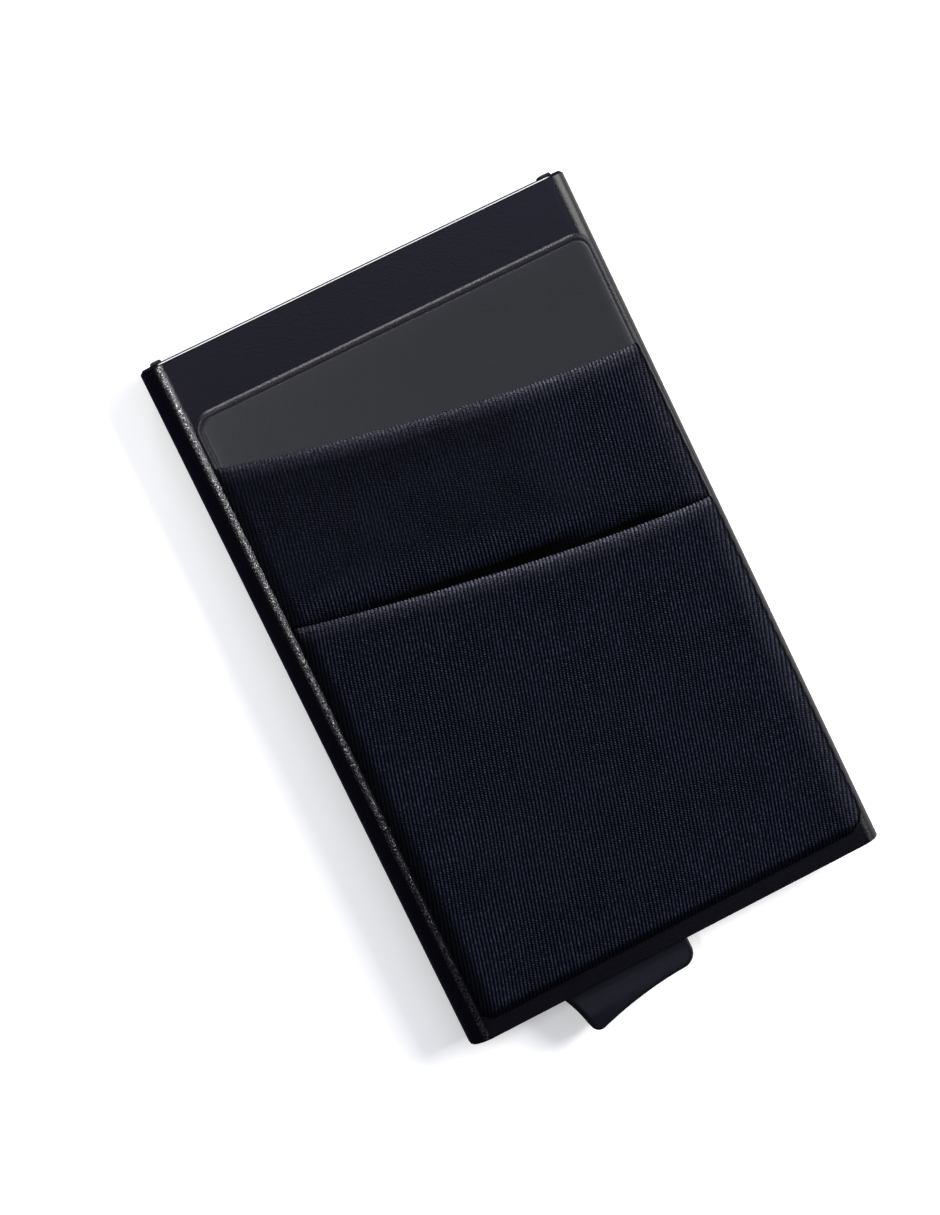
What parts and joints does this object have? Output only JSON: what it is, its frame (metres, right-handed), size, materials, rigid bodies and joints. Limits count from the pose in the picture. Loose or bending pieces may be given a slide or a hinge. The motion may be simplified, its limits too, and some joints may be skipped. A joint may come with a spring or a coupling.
{
  "type": "card wallet",
  "caption": "Slim aluminium card case with a thumb lever at its base that lifts the cards, and a double pocket of ribbed stretch fabric stuck to its front.",
  "frame": {"origin": "centre of the shell's flat back face, the face away from the pocket", "axes": "+X to the right and +Y towards the open end, both seen from the pocket side; +Z out of the pocket side"},
  "size_m": [0.0632, 0.1082, 0.0097],
  "materials": {
    "anodised_shell": "satin black anodised, bright diamond-cut rim",
    "moulded_black": "fine moulded texture",
    "steel_pin": "ground",
    "gloss_lever": "polished",
    "brake_felt": "short pile felt",
    "adhesive_film": "tacky film",
    "pocket_leather": "smooth synthetic leather",
    "stretch_fabric": "ribbed stretch knit"
  },
  "bodies": {
    "case": {"shell_tube": "anodised_shell", "end_cap": "moulded_black", "pivot_pin": "steel_pin", "card_guide_left": "moulded_black", "card_guide_right": "moulded_black", "brake_strip_left": "brake_felt", "brake_strip_right": "brake_felt", "adhesive_sheet": "adhesive_film", "pocket_backing": "pocket_leather", "upper_pocket_panel": "stretch_fabric", "lower_pocket_panel": "stretch_fabric"},
    "lever": {"eject_lever": "gloss_lever"}
  },
  "joints": [
    {"name": "lever_pivot", "type": "hinge", "parent": "case", "child": "lever", "pos_m": [0.0245, -0.044, 0.004], "axis": [0, 0, -1], "range_deg": [0, 10]}
  ]
}
